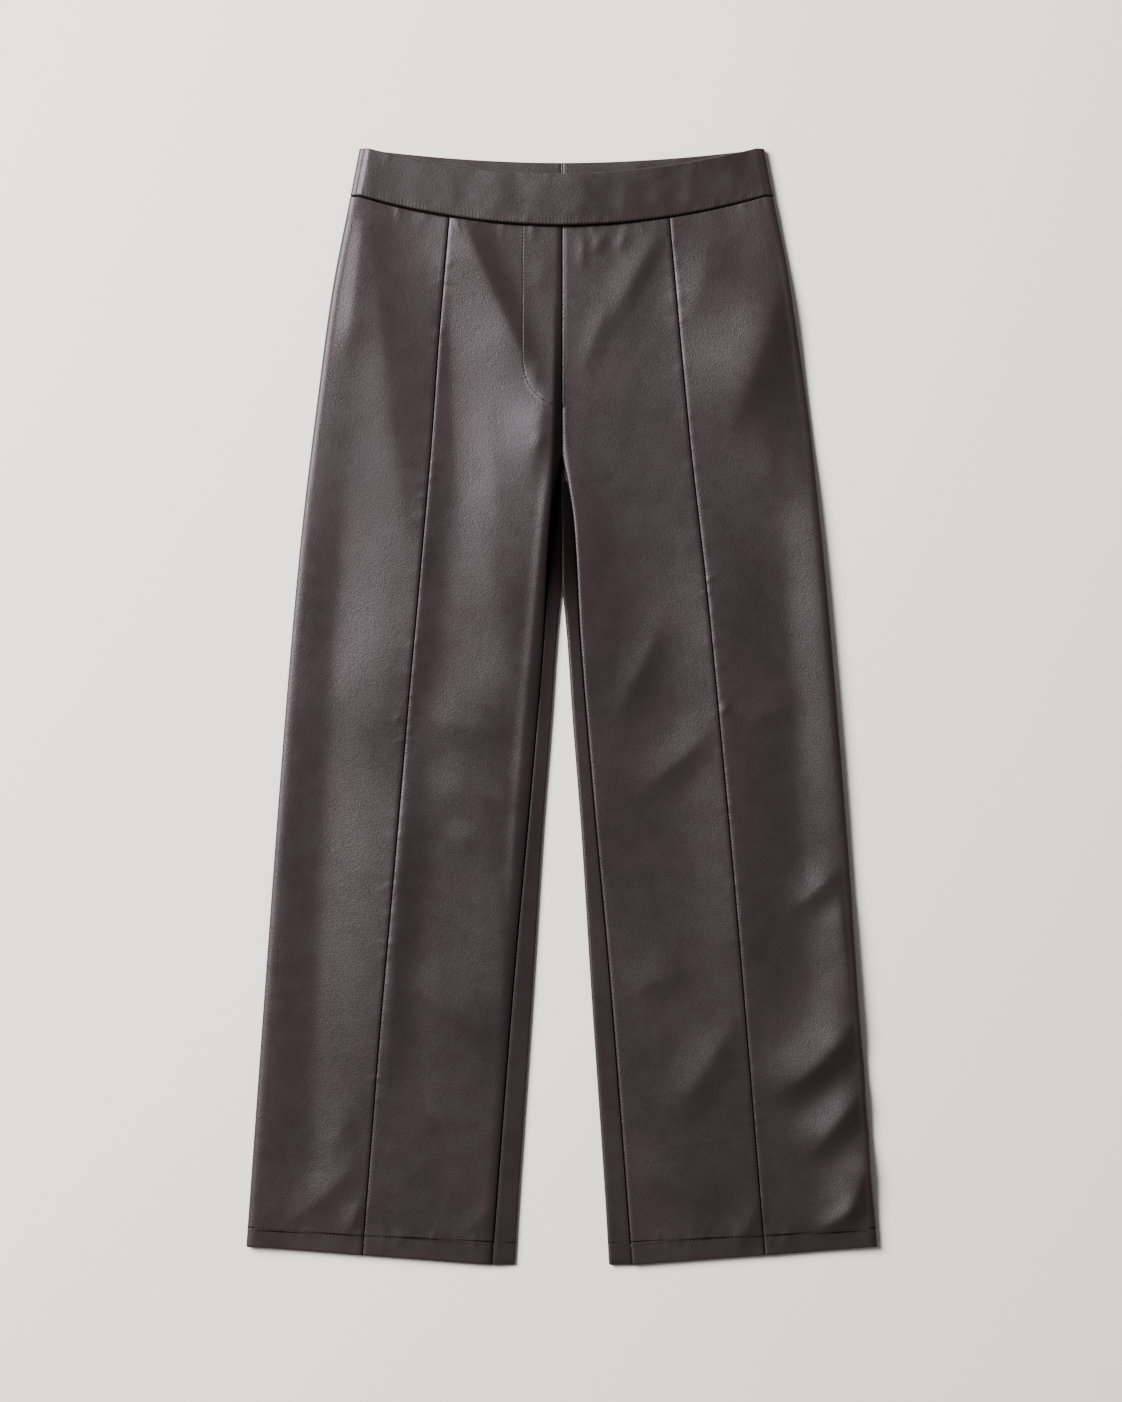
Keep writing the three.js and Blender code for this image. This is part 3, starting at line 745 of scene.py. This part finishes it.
def band_rows():
    """Rows of the waistband from inside, over the top edge and down to its lower seam: the share of the
    way down, a shift in drop, and how deep each lies."""
    rows = [(1, 0, SEAM_ROUND + SEAM_TURN)]
    for angle in (0, 25, 50, 75):
        turn = math.radians(angle)
        rows.append((1, -SEAM_ROUND * (1 - math.cos(turn)), SEAM_ROUND * (1 - math.sin(turn))))
    rows += [(share, 0, 0) for share in np.linspace(0.96, 0.03, 28)]
    for angle in (0, 30, 60, 90, 120, 150, 180):
        turn = math.radians(angle)
        rows.append((0, BAND_TOP_ROLL * (1 - math.sin(turn)), BAND_TOP_ROLL * (1 - math.cos(turn))))
    rows += [(0, BAND_TOP_ROLL + BAND_INSIDE * i / 6, 2 * BAND_TOP_ROLL) for i in range(1, 7)]
    share, shift, depth = np.array(rows[::-1]).T
    return share[:, None], shift[:, None], depth[:, None]


def front_waistband():
    share, shift, depth = band_rows()
    parts = []

    def edges(across):
        across = abs(across)
        return waist_edge(FRONT_TOP_DIP, 0, across), waist_edge(FRONT_BAND_CENTRE, BAND_SIDE, across)

    def at(across):
        return lerp(*edges(across), share) + shift

    def rolled(way, angle, turned, stitch):
        drop = at(way)
        out, height = side_roll(drop, np.full(drop.shape, float(angle)), depth + turned, 2 * ROLL)
        parts.append([way * out, drop, height, stitch])

    # Painted shade along the lower seam, carried in the stitch distance: darkest at the seam and fading out
    # towards the top edge
    lower_seam_shade = np.broadcast_to(BAND_SHADE_REACH * (1 - share) + BAND_SHADE_AT_SEAM, share.shape)
    seam_turns = [(SIDE_SEAM_ANGLE, SEAM_ROUND + SEAM_TURN), (SIDE_SEAM_ANGLE, SEAM_ROUND), (-3, 0)]
    for angle, turned in seam_turns:
        rolled(-1, angle, turned, lower_seam_shade)
    for angle in np.linspace(0, 90, 13)[:-1]:
        rolled(-1, angle, 0, lower_seam_shade)
    for across in np.linspace(-1, 1, 181):
        drop = at(across)
        reach = outer_edge(drop) - ROLL_WIDTH
        x = reach * across
        from_roll = reach * (1 - abs(across))
        top, bottom = edges(across)
        tip = lerp(*BAND_TIP, smooth(0.8 * across + 0.45)) * (bottom - drop) / (bottom - top)
        height = lerp(BAND_LAYING + tip, 2 * ROLL, np.exp(-((from_roll / EDGE_SWELL) ** 2)))
        folds = creases(x, drop, BAND_FOLDS)
        gathers = puckers(
            x, (1 - share) * BAND_DEPTH, first=-190, last=190, spacing=9, reach=9, width=3.0, rise=0.35,
            seed=11,
        )
        gathers += puckers(
            x, share * BAND_DEPTH, first=-190, last=190, spacing=12, reach=7, width=3.2, rise=0.25, seed=12,
        )
        uneven = 0.35 * ripple(x, drop, size=30, seed=5.5) + 0.15 * ripple(x, drop, size=13, seed=2.5)
        fall = np.where(depth == 0, folds + gathers + uneven, folds + uneven)
        parts.append([x, drop, height + fall - depth, lower_seam_shade])
    for angle in np.linspace(0, 90, 13)[:-1][::-1]:
        rolled(1, angle, 0, lower_seam_shade)
    for angle, turned in reversed(seam_turns):
        rolled(1, angle, turned, lower_seam_shade)
    x, drop, height, near = (np.hstack([part[i] for part in parts]) for i in range(4))
    far = np.full(x.shape, UNSEWN)
    attributes = {"seam_and_shade_distance": far, "stitch_and_shade_distance": near, "stitch_run": x}
    return sew_panel("cloth_waistband_front", "left", x, drop, height, attributes)


def back_waistband(side):
    share, shift, depth = band_rows()
    parts = []

    def at(across):
        top = waist_edge(BACK_TOP_DIP, 0, across)
        bottom = waist_edge(BACK_BAND_CENTRE, BAND_SIDE, across)
        return lerp(top, bottom, share) + shift

    for angle, turned in BACK_SEAM_COLUMNS:
        drop = at(1)
        angles = np.full(drop.shape, float(BACK_SEAM_ANGLE - angle))
        out, height = side_roll(drop, angles, depth + turned, 2 * ROLL)
        parts.append([out, drop, height])
    for angle in np.linspace(BACK_SEAM_ANGLE - BACK_SEAM_PAST, -90, 7):
        drop = at(1)
        out, height = side_roll(drop, np.full(drop.shape, angle), depth, 2 * ROLL)
        parts.append([out, drop, height])
    for across in np.linspace(1, 0, 70)[1:]:
        drop = at(across)
        reach = outer_edge(drop) - ROLL
        out = lerp(SEAM_GAP / 2 + SEAM_ROUND, reach, across)
        inner_waves = 0.25 * (1 + ripple(MIRROR[side] * out, drop, size=24, seed=4.4)) * (depth > 0)
        parts.append([out, drop, depth + inner_waves])
    for angle in (68, 45, 22, 0):
        turn = math.radians(angle)
        drop = at(0)
        out = np.broadcast_to(SEAM_GAP / 2 + SEAM_ROUND * (1 - math.cos(turn)), drop.shape)
        parts.append([out, drop, np.minimum(depth + SEAM_ROUND * (1 - math.sin(turn)), BAND_BACK_HEIGHT)])
    out, drop, height = (np.hstack([part[i] for part in parts]) for i in range(3))
    far = np.full(out.shape, UNSEWN)
    attributes = {"seam_and_shade_distance": far, "stitch_and_shade_distance": far, "stitch_run": out}
    return sew_panel(f"cloth_waistband_back_{side}", side, out, drop, height, attributes)


for side in ("right", "left"):
    panel = back_waistband(side)
    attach(panel, "root")
    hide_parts(f"waistband_back_{side}")

panel = front_waistband()
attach(panel, "root")
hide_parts("waistband_front")

# Stitching. Dark polyester thread, tone on tone: the J of the mock fly, one row round each hem and one
# down each long seam. Each stitch is a bead of thread, drawn down into the cloth at both ends.
STITCH = 2.7
THREAD = 0.75
SEAM_STITCHED = (84, 1028)
BESIDE_SEAM = 1.0
FLY_STITCHED_FROM = 76
FLY_BEND = 41.7
FLY_TURN = 1.52
HEM_ROW_INSET = 1.5
BACK_ROW_HEIGHT = 0.2


def thread_material():
    material = bpy.data.materials.new("thread")
    material.use_nodes = True
    nodes, links = material.node_tree.nodes, material.node_tree.links
    shader = nodes["Principled BSDF"]
    place = nodes.new("ShaderNodeTexCoord")
    twist = nodes.new("ShaderNodeTexWave")
    twist.inputs["Scale"].default_value = 900
    twist.bands_direction = "DIAGONAL"
    links.new(place.outputs["Object"], twist.inputs["Vector"])
    colour = nodes.new("ShaderNodeMix")
    colour.data_type = "RGBA"
    colour.inputs["A"].default_value = (0.004, 0.003, 0.003, 1)
    colour.inputs["B"].default_value = (0.009, 0.006, 0.006, 1)
    links.new(twist.outputs["Fac"], colour.inputs["Factor"])
    links.new(colour.outputs["Result"], shader.inputs["Base Color"])
    shader.inputs["Roughness"].default_value = 0.7
    shader.inputs["Specular IOR Level"].default_value = 0.12
    return material


thread = thread_material()


def sew_rows(name, lines):
    """Stitches along one or more lines of points, joined in one mesh."""
    work = bmesh.new()
    for line in lines:
        steps = np.linalg.norm(np.diff(line, axis=0), axis=1)
        length = np.concatenate([[0], np.cumsum(steps)])
        for at in np.arange(STITCH_STEP / 2, length[-1], STITCH_STEP):
            middle, before, after = (
                Vector([np.interp(at + shift, length, line[:, axis]) for axis in range(3)])
                for shift in (0, -STITCH / 2, STITCH / 2)
            )
            turn = (after - before).to_track_quat("X", "Z").to_matrix().to_4x4()
            size = Matrix.Diagonal((STITCH / 2, THREAD / 2, THREAD / 2, 1))
            place = Matrix.Scale(MM, 4) @ Matrix.Translation(middle) @ turn @ size
            bmesh.ops.create_uvsphere(work, u_segments=6, v_segments=5, radius=1, matrix=place)
    for face in work.faces:
        face.smooth = True
    mesh = bpy.data.meshes.new(name)
    work.to_mesh(mesh)
    work.free()
    mesh.materials.append(thread)
    row = bpy.data.objects.new(name, mesh)
    bpy.context.scene.collection.objects.link(row)
    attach(row, "root")


def on_front(side, out, drop):
    """Points on the cloth of the front."""
    height = front_height(side, out, drop) + front_details(side, out, drop, LENGTH)[0]
    return np.stack([MIRROR[side] * out, LENGTH / 2 - drop, height], axis=-1)


fly_straight = np.linspace(FLY_STITCHED_FROM, FLY_STRAIGHT, 80)
fly_bend = FLY_STRAIGHT + FLY_BEND * np.sin(np.linspace(0, FLY_TURN, 60))[1:]
fly_drops = np.concatenate([fly_straight, fly_bend])
sew_rows("stitch_fly", [on_front("right", fly_edge(fly_drops), fly_drops)])

for side in ("right", "left"):
    share = np.linspace(0, 1, 160)
    hem = row_drop(LENGTH, share, FRONT_BAND_CENTRE) - HEM_DEPTH
    out = lerp(inseam(hem) + HEM_ROW_INSET, outer_edge(hem) - ROLL_WIDTH, share)
    front_row = on_front(side, out, hem)
    back_out = lerp(inner_edge(hem) + ROLL, outer_edge(hem) - ROLL, share)
    back_hem = row_drop(LENGTH, share, BACK_BAND_CENTRE) - HEM_DEPTH
    back_up = np.full(share.shape, BACK_ROW_HEIGHT)
    back_row = np.stack([MIRROR[side] * back_out, LENGTH / 2 - back_hem, back_up], axis=-1)
    sew_rows(f"stitch_hem_{side}", [front_row, back_row])
    drop = np.linspace(*SEAM_STITCHED, 300)
    beside = front_seam[side](drop) - MIRROR[side] * BESIDE_SEAM
    sew_rows(f"stitch_seam_{side}", [on_front(side, beside, drop)])

# Floor. A plain pale surface, which isn't part of the trousers.
FLOOR_SIZE = 6
FLOOR_BELOW = 0.0003
FLOOR_COLOUR = (0.80, 0.755, 0.69, 1)

floor_grid = bmesh.new()
bmesh.ops.create_grid(floor_grid, x_segments=1, y_segments=1, size=FLOOR_SIZE)
bmesh.ops.translate(floor_grid, verts=floor_grid.verts, vec=(0, 0, -FLOOR_BELOW))
floor_mesh = bpy.data.meshes.new("floor")
floor_grid.to_mesh(floor_mesh)
floor_grid.free()
floor = bpy.data.objects.new("floor", floor_mesh)
bpy.context.scene.collection.objects.link(floor)
floor_material = bpy.data.materials.new("pale_floor")
floor_material.use_nodes = True
floor_shader = floor_material.node_tree.nodes["Principled BSDF"]
floor_shader.inputs["Base Color"].default_value = FLOOR_COLOUR
floor_shader.inputs["Roughness"].default_value = 0.8
floor_mesh.materials.append(floor_material)

# Studio light. A large soft box high on the upper left shapes the folds, and pale walls fill the rest.
KEY_PLACE = Vector((-2.95, 1.7, 2.95))
KEY_SIZE = 2.6
KEY_POWER = 850
KEY_COLOUR = (1.0, 0.985, 0.98)
WALL_COLOUR = (0.95, 0.95, 1.0, 1)
WALL_LIGHT = 0.2

key_data = bpy.data.lights.new("key", "AREA")
key_data.shape = "SQUARE"
key_data.size = KEY_SIZE
key_data.energy = KEY_POWER
key_data.color = KEY_COLOUR
key = bpy.data.objects.new("key", key_data)
key.location = KEY_PLACE
key.rotation_euler = (-KEY_PLACE).to_track_quat("-Z", "Y").to_euler()
bpy.context.scene.collection.objects.link(key)

world = bpy.data.worlds.new("studio")
world.use_nodes = True
world.node_tree.nodes["Background"].inputs["Color"].default_value = WALL_COLOUR
world.node_tree.nodes["Background"].inputs["Strength"].default_value = WALL_LIGHT
bpy.context.scene.world = world

# Camera. Straight above, as the photograph was taken.
PHOTO_PIXELS = (1122, 1402)
PIXEL = 0.94
TROUSERS_CENTRE = (562, 707)
LENS = 85
SENSOR = 36

camera_data = bpy.data.cameras.new("camera")
camera_data.lens = LENS
camera_data.sensor_width = SENSOR
camera = bpy.data.objects.new("camera", camera_data)
off_x = (PHOTO_PIXELS[0] / 2 - TROUSERS_CENTRE[0]) * PIXEL
off_y = (TROUSERS_CENTRE[1] - PHOTO_PIXELS[1] / 2) * PIXEL
distance = PHOTO_PIXELS[1] * PIXEL * LENS / SENSOR
camera.location = Vector((off_x, off_y, distance + FLAT_HEIGHT)) * MM
bpy.context.scene.collection.objects.link(camera)
bpy.context.scene.camera = camera
